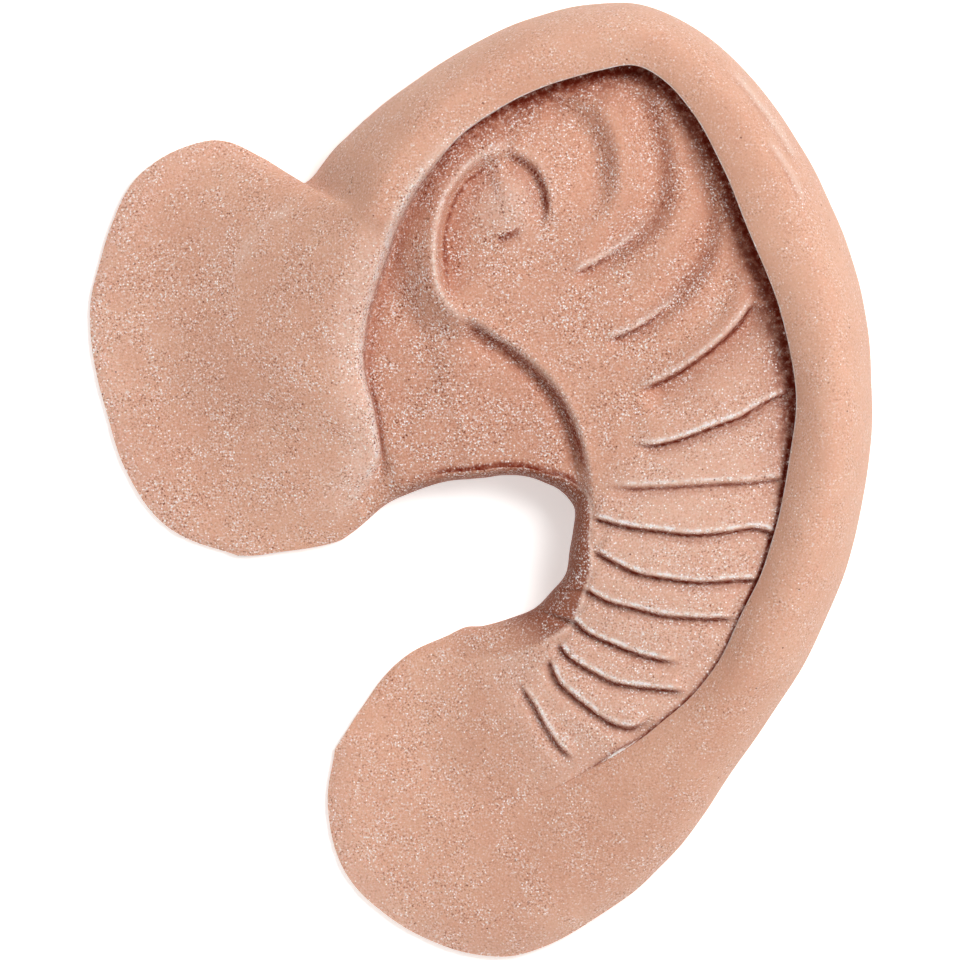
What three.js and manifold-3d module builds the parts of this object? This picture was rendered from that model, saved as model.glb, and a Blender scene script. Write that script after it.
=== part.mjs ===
// A foam latex fantasy ear, in millimetres: one moulding, lying on the side that is glued to the head.
import * as THREE from "three";
import { mergeVertices } from "three/addons/utils/BufferGeometryUtils.js";
import Module from "manifold-3d";

const wasm = await Module();
wasm.setup();

// Overall size
const earWidth = 90.5; // X, from the temple flange to the outer side of the rim
const earHeight = 110; // Y, from the lobe flange to the top of the rim
const earDepth = 28; // Z, from the glued side to the highest part of the rim

// Foam around the hollow for the wearer's own ear
const foamWall = 3.2; // between the sunk front and the hollow
const glueBand = 4; // flat ring between the hollow and the outline
const canalWall = 2; // beside the notch, where its wall is thinnest

// Form of the sunk front
const conchaDepth = 3.5; // below the ribbed part
const conchaSlope = 2.2; // width of the step down to the concha
const ribCrown = 1.2; // bulge of the ribbed part between the notch and the lip
const lipSlope = 0.6; // width of the steep wall under the lip
const flangeRamp = 0.5; // how straight the flanges slope away from the rim, from 0 to 1
const foldStart = 0.15; // share of a fold's line over which it rises at its inner end
const foldEnd = 0.1; // and over which it dies away at its outer end

// How finely the surface is drawn
const sectionCount = 133;
const foldDensity = 1.7; // sections lie this much closer where the fan and the ribs are

// A table's rows become objects with the columns' names.
function table(columns, rows) {
  return rows.map((row) => Object.fromEntries(columns.map((name, i) => [name, row[i]])));
}

// Sections across the ear, from the temple flange over the top and down to the lobe flange.
// Each runs from the notch to the lip of the rim and on to the outline.
// Places are shares of the width and height, from the middle of the ear.
const sections = table(
  ["notchX", "notchY", "lipX", "lipY", "outlineX", "outlineY"],
  [
    [-0.278, -0.079, -0.293, -0.08, -0.309, -0.08],
    [-0.194, -0.067, -0.23, -0.063, -0.401, -0.049],
    [-0.163, -0.054, -0.179, -0.037, -0.457, 0.016],
    [-0.121, -0.026, -0.13, 0.019, -0.485, 0.094],
    [-0.092, -0.014, -0.135, 0.068, -0.5, 0.163],
    [-0.066, -0.006, -0.149, 0.121, -0.485, 0.236],
    [-0.045, -0.002, -0.145, 0.168, -0.44, 0.318],
    [-0.028, 0, -0.133, 0.205, -0.351, 0.357],
    [-0.015, 0.001, -0.115, 0.247, -0.278, 0.339],
    [-0.006, 0.002, -0.102, 0.273, -0.228, 0.312],
    [0.006, 0.003, -0.07, 0.318, -0.179, 0.355],
    [0.023, 0.005, -0.006, 0.373, -0.098, 0.411],
    [0.038, 0.005, 0.077, 0.409, 0, 0.461],
    [0.054, 0.004, 0.153, 0.428, 0.115, 0.4955],
    [0.07, 0.001, 0.21, 0.43, 0.222, 0.4945],
    [0.085, -0.004, 0.268, 0.386, 0.319, 0.444],
    [0.098, -0.009, 0.307, 0.327, 0.402, 0.359],
    [0.111, -0.018, 0.344, 0.254, 0.459, 0.265],
    [0.121, -0.031, 0.379, 0.184, 0.491, 0.173],
    [0.12, -0.05, 0.401, 0.089, 0.5, 0.073],
    [0.116, -0.071, 0.39, 0.01, 0.486, -0.031],
    [0.11, -0.097, 0.37, -0.068, 0.453, -0.123],
    [0.092, -0.116, 0.338, -0.131, 0.399, -0.212],
    [0.07, -0.135, 0.293, -0.203, 0.332, -0.294],
    [0.038, -0.146, 0.223, -0.26, 0.255, -0.385],
    [0.006, -0.153, 0.14, -0.304, 0.161, -0.454],
    [-0.018, -0.154, 0.07, -0.331, 0.047, -0.4995],
    [-0.043, -0.163, 0, -0.333, -0.07, -0.482],
    [-0.087, -0.18, -0.07, -0.299, -0.163, -0.424],
    [-0.124, -0.208, -0.128, -0.273, -0.195, -0.349],
    [-0.156, -0.244, -0.167, -0.259, -0.186, -0.283],
  ],
);

// Heights above the glued side at some of those sections, as shares of the depth.
// wallTop and lipFoot bound the recess, and flat is where the rim's slope runs out into a flange.
const heights = table(
  ["section", "wallTop", "lipFoot", "lip", "crest", "flat", "edge"],
  [
    [0, 0.046, 0.05, 0.05, 0.05, 0.043, 0.032],
    [1, 0.079, 0.086, 0.093, 0.093, 0.057, 0.032],
    [2, 0.132, 0.164, 0.179, 0.186, 0.064, 0.032],
    [3, 0.25, 0.275, 0.305, 0.315, 0.064, 0.032],
    [4, 0.345, 0.375, 0.395, 0.405, 0.068, 0.032],
    [5, 0.375, 0.41, 0.43, 0.44, 0.068, 0.032],
    [7, 0.405, 0.475, 0.53, 0.545, 0.06, 0.064],
    [9, 0.429, 0.521, 0.629, 0.646, 0.054, 0.036],
    [10, 0.436, 0.543, 0.671, 0.689, 0.179, 0.214],
    [11, 0.446, 0.571, 0.721, 0.743, 0.286, 0.321],
    [13, 0.464, 0.643, 0.807, 0.843, 0.411, 0.411],
    [15, 0.486, 0.679, 0.861, 0.911, 0.464, 0.464],
    [17, 0.511, 0.7, 0.893, 0.971, 0.464, 0.464],
    [19, 0.529, 0.746, 0.871, 1, 0.464, 0.464],
    [20, 0.529, 0.743, 0.825, 0.964, 0.446, 0.446],
    [22, 0.471, 0.664, 0.711, 0.807, 0.339, 0.339],
    [24, 0.345, 0.47, 0.485, 0.52, 0.164, 0.161],
    [25, 0.26, 0.35, 0.36, 0.375, 0.11, 0.09],
    [26, 0.195, 0.245, 0.25, 0.255, 0.08, 0.05],
    [27, 0.14, 0.165, 0.17, 0.17, 0.066, 0.036],
    [28, 0.09, 0.1, 0.102, 0.102, 0.056, 0.032],
    [30, 0.046, 0.05, 0.054, 0.054, 0.043, 0.032],
  ],
);

// Form of the notch wall and the rim at some sections. lean is the wall's slant and tuck is how far the rim
// curls under, as shares of the depth. stepAt is where the recess steps up from the concha, as a share of it.
// crestAt and slopeEnd are shares of the way from the lip to the outline.
// roll is 1 where the rim is round and 0 where it sweeps out into a flange.
const forms = table(
  ["section", "lean", "stepAt", "crestAt", "slopeEnd", "roll", "tuck"],
  [
    [0, 0.02, 0.5, 0.1, 0.6, 0, 0],
    [2, 0.03, 0.5, 0.1, 0.75, 0, 0],
    [4, 0.06, 0.52, 0.11, 0.84, 0, 0],
    [6, 0.065, 0.56, 0.14, 0.88, 0, 0],
    [8, 0.075, 0.61, 0.22, 0.92, 0, 0],
    [9, 0.075, 0.6, 0.26, 0.98, 0.15, 0.01],
    [10, 0.075, 0.555, 0.35, 1, 0.55, 0.07],
    [11, 0.075, 0.4, 0.42, 1, 0.85, 0.14],
    [12, 0.075, 0.315, 0.46, 1, 0.97, 0.18],
    [13, 0.075, 0.245, 0.48, 1, 1, 0.2],
    [15, 0.075, 0.175, 0.49, 1, 1, 0.21],
    [17, 0.073, 0.115, 0.5, 1, 1, 0.21],
    [19, 0.07, 0.085, 0.5, 1, 1, 0.21],
    [20, 0.075, 0.085, 0.5, 1, 1, 0.21],
    [22, 0.13, 0.1, 0.42, 1, 1, 0.18],
    [23, 0.17, 0.12, 0.36, 1, 0.9, 0.12],
    [24, 0.17, 0.16, 0.25, 1, 0.8, 0.07],
    [26, 0.14, 0.3, 0.1, 0.95, 0.5, 0.01],
    [28, 0.05, 0.4, 0.1, 0.9, 0.2, 0],
    [30, 0.02, 0.5, 0.1, 0.8, 0, 0],
  ],
);

// Edge of the raised part, from the top of the rim round the curl and down to the canal wall.
// Right of it lies the sunk side, with its depth as a share of the concha's.
const bodyEdge = table(
  ["x", "y", "sink"],
  [
    [0.166, 0.416, 0.13],
    [0.102, 0.402, 0.22],
    [0.051, 0.386, 0.36],
    [0, 0.363, 0.53],
    [-0.036, 0.331, 0.67],
    [-0.051, 0.294, 0.8],
    [-0.059, 0.252, 0.9],
    [-0.057, 0.21, 0.95],
    [-0.036, 0.184, 1],
    [0, 0.166, 1],
    [0.051, 0.134, 1],
    [0.092, 0.102, 1],
    [0.117, 0.065, 1],
    [0.135, 0.021, 1],
    [0.144, -0.021, 1],
    [0.143, -0.063, 0.33],
    [0.13, -0.11, 0],
    [0.097, -0.168, 0],
    [0.038, -0.21, 0],
  ],
);

// Kinds of fold, in millimetres: the height on the left of its line and on its right,
// how wide each side is, and how wide the turn between them is.
const foldKinds = {
  rib: { left: 0.75, leftWidth: 2.4, right: -0.9, rightWidth: 1.5, turn: 1.1 },
  fan: { left: -1.1, leftWidth: 3, right: 1.1, rightWidth: 3.2, turn: 3.4 },
  tuck: { left: 0.45, leftWidth: 1.8, right: -0.6, rightWidth: 1.8, turn: 1.8 },
  pocket: { left: 0.9, leftWidth: 1.9, right: -1.4, rightWidth: 2.8, turn: 1.4 },
  curl: { left: 0.7, leftWidth: 3, right: -1, rightWidth: 2.6, turn: 3 },
  cup: { left: -1.3, leftWidth: 4.6, right: 0, rightWidth: 1, turn: 2 },
  hump: { left: 1.1, leftWidth: 3.4, right: 1.1, rightWidth: 3.4, turn: 1 },
};

// The folds of the sunk front. Each line is a few x, y places, from its inner end outwards.
const folds = table(
  ["kind", "line"],
  [
    ["curl", [[0.029, 0.342], [0.062, 0.33], [0.083, 0.3], [0.078, 0.262]]],
    ["cup", [[0.038, 0.342], [-0.021, 0.318], [-0.052, 0.262], [-0.046, 0.197], [0.01, 0.152]]],
    ["hump", [[-0.038, 0.173], [-0.019, 0.131], [0.003, 0.084]]],
    ["fan", [[0.14, 0.279], [0.16, 0.31], [0.149, 0.367], [0.083, 0.398]]],
    ["fan", [[0.14, 0.225], [0.202, 0.258], [0.244, 0.32], [0.231, 0.384], [0.212, 0.411]]],
    ["tuck", [[0.115, 0.214], [0.166, 0.235], [0.202, 0.258]]],
    ["fan", [[0.182, 0.153], [0.242, 0.183], [0.298, 0.238], [0.302, 0.31]]],
    ["tuck", [[0.158, 0.146], [0.202, 0.159], [0.242, 0.183]]],
    ["pocket", [[0.198, 0.091], [0.249, 0.111], [0.301, 0.141], [0.353, 0.189]]],
    ["rib", [[0.186, 0.038], [0.258, 0.044], [0.333, 0.066], [0.394, 0.091]]],
    ["rib", [[0.152, -0.007], [0.247, -0.007], [0.349, -0.003], [0.389, 0.002]]],
    ["rib", [[0.149, -0.041], [0.231, -0.054], [0.316, -0.055], [0.381, -0.057]]],
    ["rib", [[0.144, -0.073], [0.207, -0.099], [0.286, -0.107], [0.36, -0.102]]],
    ["rib", [[0.13, -0.113], [0.196, -0.135], [0.282, -0.145], [0.329, -0.145]]],
    ["rib", [[0.115, -0.144], [0.159, -0.17], [0.217, -0.186], [0.261, -0.192]]],
    ["rib", [[0.099, -0.171], [0.142, -0.201], [0.21, -0.218], [0.265, -0.221]]],
    ["rib", [[0.088, -0.187], [0.125, -0.23], [0.176, -0.257], [0.224, -0.249]]],
    ["rib", [[0.046, -0.21], [0.087, -0.263], [0.121, -0.294]]],
  ],
);

// The round knob inside the curl, with its radius and rise in millimetres.
const knob = { x: 0.034, y: 0.29, radius: 3.4, rise: 0.9 };

function place(x, y) {
  return new THREE.Vector2(x * earWidth, y * earHeight);
}

// A smooth value between a table's rows, at a section number that may lie between them.
function valueAt(rows, key, at, position = (row, i) => row.section ?? i) {
  const last = rows.length - 1;
  let i = 0;
  while (i < last - 1 && position(rows[i + 1], i + 1) <= at) i += 1;
  const knot = (k) => position(rows[THREE.MathUtils.clamp(k, 0, last)], THREE.MathUtils.clamp(k, 0, last));
  const value = (k) => rows[THREE.MathUtils.clamp(k, 0, last)][key];
  const gap = knot(i + 1) - knot(i);
  const tangent = (k) => ((value(k + 1) - value(k - 1)) / (knot(k + 1) - knot(k - 1))) * gap;
  const t = (at - knot(i)) / gap;
  const t2 = t * t;
  const t3 = t2 * t;
  return (
    (2 * t3 - 3 * t2 + 1) * value(i) +
    (t3 - 2 * t2 + t) * tangent(i) +
    (3 * t2 - 2 * t3) * value(i + 1) +
    (t3 - t2) * tangent(i + 1)
  );
}

// A smooth line through its places, as short straight pieces with the share of the way along it.
function smoothLine(places) {
  const knots = places.map((p) => new THREE.Vector3(p.x, p.y, 0));
  const curve = new THREE.CatmullRomCurve3(knots, false, "centripetal");
  const steps = places.length * 5;
  return curve.getPoints(steps).map((p, i) => ({ x: p.x, y: p.y, share: i / steps }));
}

// Distance from a point to a line, positive on its left, and the share of the way along it.
function nearest(line, x, y) {
  let best = { distance: Infinity, share: 0 };
  for (let i = 0; i < line.length - 1; i += 1) {
    const a = line[i];
    const b = line[i + 1];
    const along = { x: b.x - a.x, y: b.y - a.y };
    const reach = ((x - a.x) * along.x + (y - a.y) * along.y) / (along.x ** 2 + along.y ** 2);
    const t = THREE.MathUtils.clamp(reach, 0, 1);
    const away = { x: x - a.x - t * along.x, y: y - a.y - t * along.y };
    const distance = Math.hypot(away.x, away.y);
    if (distance < Math.abs(best.distance)) {
      const side = along.x * away.y - along.y * away.x >= 0 ? 1 : -1;
      best = { distance: side * distance, share: a.share + t * (b.share - a.share) };
    }
  }
  return best;
}

const foldLines = folds.map((fold) => ({
  ...foldKinds[fold.kind],
  line: smoothLine(fold.line.map(([x, y]) => place(x, y))),
}));
const edgeLine = smoothLine(bodyEdge.map((row) => place(row.x, row.y)));

// How far the surface stands above or below the plain recess because of one fold.
function foldHeight(fold, x, y) {
  const { distance, share } = nearest(fold.line, x, y);
  const left = fold.left * Math.exp(-((distance / fold.leftWidth) ** 2));
  const right = fold.right * Math.exp(-((distance / fold.rightWidth) ** 2));
  const side = THREE.MathUtils.smoothstep(distance, -fold.turn / 2, fold.turn / 2);
  const risen = THREE.MathUtils.smoothstep(share, 0, foldStart);
  const fade = risen * THREE.MathUtils.smoothstep(1 - share, 0, foldEnd);
  return fade * THREE.MathUtils.lerp(right, left, side);
}

// Depth of the concha and of the groove under the lip at a place.
// The step down to it starts so far inside the edge of the raised part, and has the given width.
function sinkAt(spot, inside, width) {
  const { distance, share } = nearest(edgeLine, spot.x, spot.y);
  const sink = valueAt(bodyEdge, "sink", share * (bodyEdge.length - 1));
  return conchaDepth * sink * THREE.MathUtils.smoothstep(inside - distance, 0, width);
}

function reliefAt(x, y) {
  const folded = foldLines.reduce((sum, fold) => sum + foldHeight(fold, x, y), 0);
  const centre = place(knob.x, knob.y);
  const away = Math.hypot(x - centre.x, y - centre.y) / knob.radius;
  return folded + knob.rise * Math.exp(-away * away);
}

// One section's places and heights in millimetres. Its path runs from the notch over the lip to the outline.
function sectionAt(at) {
  const here = (key) => valueAt(sections, key, at);
  const height = (key) => earDepth * valueAt(heights, key, at);
  const form = (key) => valueAt(forms, key, at);
  const notch = place(here("notchX"), here("notchY"));
  const lip = place(here("lipX"), here("lipY"));
  const outline = place(here("outlineX"), here("outlineY"));
  const recess = notch.distanceTo(lip);
  return {
    at,
    notch,
    lip,
    outline,
    recess,
    rim: lip.distanceTo(outline),
    lean: Math.min(earDepth * form("lean"), 0.3 * recess),
    foot: recess - Math.min(lipSlope, 0.3 * recess),
    tuck: Math.max(earDepth * form("tuck"), 0),
    stepAt: form("stepAt"),
    crestAt: form("crestAt"),
    slopeEnd: Math.min(form("slopeEnd"), 1),
    roll: THREE.MathUtils.clamp(form("roll"), 0, 1),
    wallTop: height("wallTop"),
    lipFoot: height("lipFoot"),
    lipTop: height("lip"),
    crest: height("crest"),
    flat: height("flat"),
    edge: height("edge"),
  };
}

// The plan place at a distance from the notch along a section's path.
function placeOn(section, distance) {
  if (distance < section.recess) {
    return section.notch.clone().lerp(section.lip, distance / section.recess);
  }
  return section.lip.clone().lerp(section.outline, (distance - section.recess) / section.rim);
}

// How far the recess has opened at a section: it fades out towards both flanges.
function openness(section) {
  const fromTemple = THREE.MathUtils.smoothstep(section.at, 1.5, 4.5);
  return fromTemple * THREE.MathUtils.smoothstep(28.5 - section.at, 0, 3);
}

// Height of the recess without its folds, at a share of the way from the wall's top to the lip's foot.
function recessHeight(section, share, sink) {
  const plain = THREE.MathUtils.lerp(section.wallTop, section.lipFoot, share);
  return plain + openness(section) * (4 * ribCrown * share * (1 - share) - sink);
}

// Height of the rim or flange at a share of the way from the lip to the outline.
function rimHeight(section, share) {
  const { crestAt, slopeEnd, roll, lipTop, crest, flat, edge } = section;
  if (share < crestAt) {
    return lipTop + (crest - lipTop) * (1 - (1 - share / crestAt) ** 2);
  }
  if (share > slopeEnd) {
    return THREE.MathUtils.lerp(flat, edge, (share - slopeEnd) / (1 - slopeEnd));
  }
  const fallen = (share - crestAt) / (slopeEnd - crestAt);
  const round = Math.sqrt(1 - fallen ** 2);
  const swept = THREE.MathUtils.lerp(0.5 + 0.5 * Math.cos(Math.PI * fallen), 1 - fallen, flangeRamp);
  return flat + (crest - flat) * THREE.MathUtils.lerp(swept, round, roll);
}

// Shares of the way across the recess, closest at the step up from the concha.
function recessShares(section) {
  const step = conchaSlope / (section.foot - section.lean);
  const low = Math.max(section.stepAt - step, 0.4 * section.stepAt);
  const concha = [0, 0.3, 0.65].map((share) => share * low);
  const slope = [0, 0.35, 0.7].map((share) => THREE.MathUtils.lerp(low, section.stepAt, share));
  const raised = Array.from({ length: 22 }, (_, i) => THREE.MathUtils.lerp(section.stepAt, 1, i / 21));
  return [...concha, ...slope, ...raised];
}

// The closed loop of one section of the outer body: up the notch wall, over the front and under the rim.
function outerLoop(section) {
  const loop = [];
  const add = (distance, height) => {
    const spot = placeOn(section, distance);
    loop.push(new THREE.Vector3(spot.x, spot.y, height));
  };
  const surface = (share) => {
    const spot = placeOn(section, THREE.MathUtils.lerp(section.lean, section.foot, share));
    const plain = recessHeight(section, share, sinkAt(spot, 0.1 * conchaSlope, conchaSlope));
    const highest = THREE.MathUtils.lerp(earDepth, section.lipTop, share);
    return Math.min(plain + openness(section) * reliefAt(spot.x, spot.y), highest);
  };
  const top = surface(0);
  for (const angle of [0, 28, 58]) {
    const turn = THREE.MathUtils.degToRad(angle);
    add(section.lean * (1 - Math.cos(turn)), top * Math.sin(turn));
  }
  for (const share of recessShares(section)) {
    add(THREE.MathUtils.lerp(section.lean, section.foot, share), surface(share));
  }
  for (const share of [0, 0.12, 0.28, 0.46, 0.64, 0.8, 0.93, 1]) {
    add(section.recess + share * section.rim, rimHeight(section, share));
  }
  const full = section.recess + section.rim;
  add(full - 0.3 * section.tuck, 0.45 * section.edge);
  add(full - section.tuck, 0);
  return loop;
}

// The loop of one section of the hollow: it follows the front a wall's thickness below, and is open behind.
function hollowLoop(section) {
  const start = section.lean + canalWall;
  const end = section.recess + section.rim - section.tuck - glueBand;
  const below = -foamWall;
  const spots = [];
  for (const share of [0, 0.2, 0.4, 0.6, 0.8, 1]) {
    const distance = THREE.MathUtils.lerp(start, section.foot, share);
    const along = (distance - section.lean) / (section.foot - section.lean);
    const sink = sinkAt(placeOn(section, distance), 2 * foamWall, 2 * foamWall);
    spots.push({ distance, ceiling: recessHeight(section, along, sink) });
  }
  for (const share of [0.3, 0.6, 1]) {
    const distance = THREE.MathUtils.lerp(section.recess, end, share);
    const ceiling = rimHeight(section, (distance - section.recess) / section.rim);
    spots.push({ distance, ceiling: Math.min(ceiling, section.lipFoot) });
  }
  const front = spots.map(({ distance, ceiling }) => {
    const spot = placeOn(section, distance);
    return new THREE.Vector3(spot.x, spot.y, Math.max(ceiling - foamWall, below));
  });
  const back = (spot) => new THREE.Vector3(spot.x, spot.y, 2 * below);
  return [back(front[0]), ...front, back(front[front.length - 1])];
}

// A closed solid through loops with the same number of points, with flat ends.
function loft(loops) {
  const count = loops[0].length;
  const points = loops.flat();
  const faces = [];
  for (let i = 0; i < loops.length - 1; i += 1) {
    for (let j = 0; j < count; j += 1) {
      const next = (j + 1) % count;
      const [a, b] = [i * count + j, (i + 1) * count + j];
      const [c, d] = [(i + 1) * count + next, i * count + next];
      faces.push([a, b, c], [a, c, d]);
    }
  }
  const addEnd = (start, outward) => {
    const loop = points.slice(start, start + count);
    const middle = loop.reduce((sum, p) => sum.add(p), new THREE.Vector3()).divideScalar(count);
    const centre = points.push(middle) - 1;
    for (let j = 0; j < count; j += 1) {
      const pair = [start + j, start + ((j + 1) % count)];
      faces.push([...(outward ? pair : pair.reverse()), centre]);
    }
  };
  addEnd(0, true);
  addEnd((loops.length - 1) * count, false);
  return new wasm.Manifold(
    new wasm.Mesh({
      numProp: 3,
      vertProperties: new Float32Array(points.flatMap((p) => [p.x, p.y, p.z])),
      triVerts: new Uint32Array(faces.flat()),
    }),
  );
}

// Section numbers between two ends, spaced evenly along the lip and the outline.
function spread(from, to, count) {
  const samples = 400;
  const ends = Array.from({ length: samples + 1 }, (_, i) => {
    const section = sectionAt(THREE.MathUtils.lerp(from, to, i / samples));
    return { at: section.at, lip: section.lip, outline: section.outline };
  });
  const lengths = [0];
  for (let i = 1; i <= samples; i += 1) {
    const lipStep = ends[i].lip.distanceTo(ends[i - 1].lip);
    const outlineStep = ends[i].outline.distanceTo(ends[i - 1].outline);
    const isFolded = ends[i].at > 12.5 && ends[i].at < 26;
    lengths.push(lengths[i - 1] + (lipStep + 0.3 * outlineStep) * (isFolded ? foldDensity : 1));
  }
  return Array.from({ length: count }, (_, k) => {
    const wanted = (lengths[samples] * k) / (count - 1);
    let i = 1;
    while (i < samples && lengths[i] < wanted) i += 1;
    const part = (wanted - lengths[i - 1]) / (lengths[i] - lengths[i - 1]);
    return THREE.MathUtils.lerp(ends[i - 1].at, ends[i].at, Math.min(part, 1));
  });
}

function earShell() {
  const lastSection = sections.length - 1;
  const body = loft(spread(0, lastSection, sectionCount).map((at) => outerLoop(sectionAt(at))));
  const hollow = loft(spread(2.5, 27.5, Math.round(sectionCount / 4)).map((at) => hollowLoop(sectionAt(at))));
  const solid = body.subtract(hollow);
  const { numProp, vertProperties, triVerts } = solid.getMesh();
  const geometry = new THREE.BufferGeometry();
  const corners = Array.from({ length: vertProperties.length / numProp }, (_, i) =>
    Array.from(vertProperties.slice(i * numProp, i * numProp + 3)),
  );
  geometry.setAttribute("position", new THREE.Float32BufferAttribute(corners.flat(), 3));
  geometry.setIndex(Array.from(triVerts));
  const merged = mergeVertices(geometry, 1e-4);
  merged.computeVertexNormals();
  const foam = new THREE.MeshStandardMaterial({ color: 0xd8ab96, roughness: 0.85, metalness: 0 });
  const mesh = new THREE.Mesh(merged, foam);
  mesh.name = "ear_shell";
  return mesh;
}

const ear = new THREE.Group();
ear.add(earShell());

export default ear;
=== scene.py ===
# A foam latex fantasy ear, lying on the side that is glued to the head and seen from straight above.
import math
import bpy
import numpy as np
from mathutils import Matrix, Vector, noise


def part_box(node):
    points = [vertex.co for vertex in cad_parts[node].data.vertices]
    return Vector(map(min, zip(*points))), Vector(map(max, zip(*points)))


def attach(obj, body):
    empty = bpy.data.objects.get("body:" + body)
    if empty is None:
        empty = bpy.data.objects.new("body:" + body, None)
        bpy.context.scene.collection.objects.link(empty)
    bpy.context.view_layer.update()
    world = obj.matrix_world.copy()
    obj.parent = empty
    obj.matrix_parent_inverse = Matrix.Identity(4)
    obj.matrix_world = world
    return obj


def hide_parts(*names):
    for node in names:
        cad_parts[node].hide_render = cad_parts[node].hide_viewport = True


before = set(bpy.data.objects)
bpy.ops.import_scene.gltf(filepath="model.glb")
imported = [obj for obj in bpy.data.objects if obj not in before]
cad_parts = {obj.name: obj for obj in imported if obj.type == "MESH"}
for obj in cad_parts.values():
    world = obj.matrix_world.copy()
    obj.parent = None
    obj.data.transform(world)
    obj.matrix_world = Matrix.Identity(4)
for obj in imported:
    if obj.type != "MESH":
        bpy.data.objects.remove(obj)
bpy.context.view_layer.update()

mm = 0.001
low, high = [[value / mm for value in corner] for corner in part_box("ear_shell")]
earWidth, earHeight, earDepth = [high[i] - low[i] for i in range(3)]
middleX, middleY = [(high[i] + low[i]) / 2 for i in range(2)]
print("ear box in mm:", [round(v, 2) for v in (earWidth, earHeight, earDepth)])


# shader expressions
class Wire:
    def __init__(self, shader, socket):
        self.shader = shader
        self.socket = socket

    def math(self, operation, *values):  # one Math node
        return self.shader.node("ShaderNodeMath", {"operation": operation}, dict(enumerate(values)))

    def __add__(self, other):
        return self.math("ADD", self, other)

    def __sub__(self, other):
        return self.math("SUBTRACT", self, other)

    def __rsub__(self, other):
        return self.math("SUBTRACT", other, self)

    def __mul__(self, other):
        return self.math("MULTIPLY", self, other)

    __radd__ = __add__
    __rmul__ = __mul__

    def clamped(self):
        return self.math("MINIMUM", self.math("MAXIMUM", self, 0.0), 1.0)

    def between(self, start, end):  # 0 below start, 1 above end, smooth between
        settings = {"interpolation_type": "SMOOTHSTEP"}
        return self.shader.node("ShaderNodeMapRange", settings, {0: self, 1: start, 2: end, 3: 0.0, 4: 1.0})


class Shader:
    def __init__(self, name):
        self.material = bpy.data.materials.new(name)
        self.material.use_nodes = True
        self.tree = self.material.node_tree
        self.tree.nodes.clear()

    def node(self, kind, settings=None, sockets=None, output=0):
        made = self.tree.nodes.new(kind)
        for name, value in (settings or {}).items():
            setattr(made, name, value)
        for key, value in (sockets or {}).items():
            if isinstance(value, Wire):
                self.tree.links.new(value.socket, made.inputs[key])
            else:
                made.inputs[key].default_value = value
        return Wire(self, made.outputs[output]) if made.outputs else made

    def place(self):
        return self.node("ShaderNodeTexCoord", output="Object")

    def noise(self, size, detail=2.0, rough=0.5, shift=0.0):  # size of a blotch in mm
        where = self.place()
        if shift:
            step = (shift, shift, shift)
            where = self.node("ShaderNodeVectorMath", {"operation": "ADD"}, {0: where, 1: step})
        sockets = {"Vector": where, "Scale": 1 / (size * mm), "Detail": detail, "Roughness": rough}
        return self.node("ShaderNodeTexNoise", {}, sockets)

    def cells(self, size, output=0):  # distance to, or colour of, the nearest of many spots size mm apart
        sockets = {"Vector": self.place(), "Scale": 1 / (size * mm), "Randomness": 1.0}
        return self.node("ShaderNodeTexVoronoi", {"feature": "F1"}, sockets, output)

    def mask(self, name):  # a value kept on the mesh
        return self.node("ShaderNodeAttribute", {"attribute_name": name}, output="Fac")

    def mix(self, share, first, second):
        settings = {"data_type": "RGBA", "blend_type": "MIX", "clamp_factor": True}
        return self.node("ShaderNodeMix", settings, {0: share, 6: first, 7: second}, output=2)

    def finish(self, sockets):
        surface = self.node("ShaderNodeBsdfPrincipled", {}, sockets)
        self.node("ShaderNodeOutputMaterial", {}, {"Surface": surface})
        return self.material


def colour(red, green, blue):  # screen colour 0 to 255 as the shader's linear one
    parts = [v / 255 for v in (red, green, blue)]
    return tuple(v / 12.92 if v < 0.04045 else ((v + 0.055) / 1.055) ** 2.4 for v in parts) + (1.0,)


# smooth curves through a few chosen values
def table(columns, rows):  # one array for each named column
    return dict(zip(columns.split(), np.array(rows, float).T))


def smoothValue(knots, values, at):
    knots, values, at = (np.asarray(v, float) for v in (knots, values, at))
    last = len(knots) - 1
    i = np.clip(np.searchsorted(knots, at, side="right") - 1, 0, last - 1)
    before, after = np.maximum(i - 1, 0), np.minimum(i + 2, last)
    gap = knots[i + 1] - knots[i]
    leave = (values[i + 1] - values[before]) / (knots[i + 1] - knots[before]) * gap
    arrive = (values[after] - values[i]) / (knots[after] - knots[i]) * gap
    t = (at - knots[i]) / gap
    return (
        (2 * t**3 - 3 * t**2 + 1) * values[i] + (t**3 - 2 * t**2 + t) * leave
        + (3 * t**2 - 2 * t**3) * values[i + 1] + (t**3 - t**2) * arrive
    )


def valueAt(rows, name, at):  # a table's value at section numbers, or at row numbers where it has no sections
    return smoothValue(rows.get("section", np.arange(len(rows[name]))), rows[name], at)


def lerp(first, second, share):
    return first + (second - first) * share


def smoothStep(value, start, end):
    t = np.clip((value - start) / (end - start), 0, 1)
    return t * t * (3 - 2 * t)


def fromTo(value, start, full, fading, end):  # 0, then 1 between full and fading, then 0 again
    return smoothStep(value, start, full) * (1 - smoothStep(value, fading, end))


def bell(distance, width):  # 1 on a line and less beside it
    return np.exp(-((distance / width) ** 2))


def smoothLine(places, perGap=6):  # x, y and share of the way for a line through shares of the ear's size
    spots = np.array(places, float) * (earWidth, earHeight)
    steps = np.hypot(*np.diff(spots, axis=0).T)
    knots = np.concatenate(([0], np.cumsum(np.sqrt(steps))))
    at = np.linspace(0, knots[-1], (len(spots) - 1) * perGap + 1)
    x, y = [smoothValue(knots, spots[:, i], at) for i in range(2)]
    return np.stack([x, y, at / knots[-1]], 1)


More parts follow.
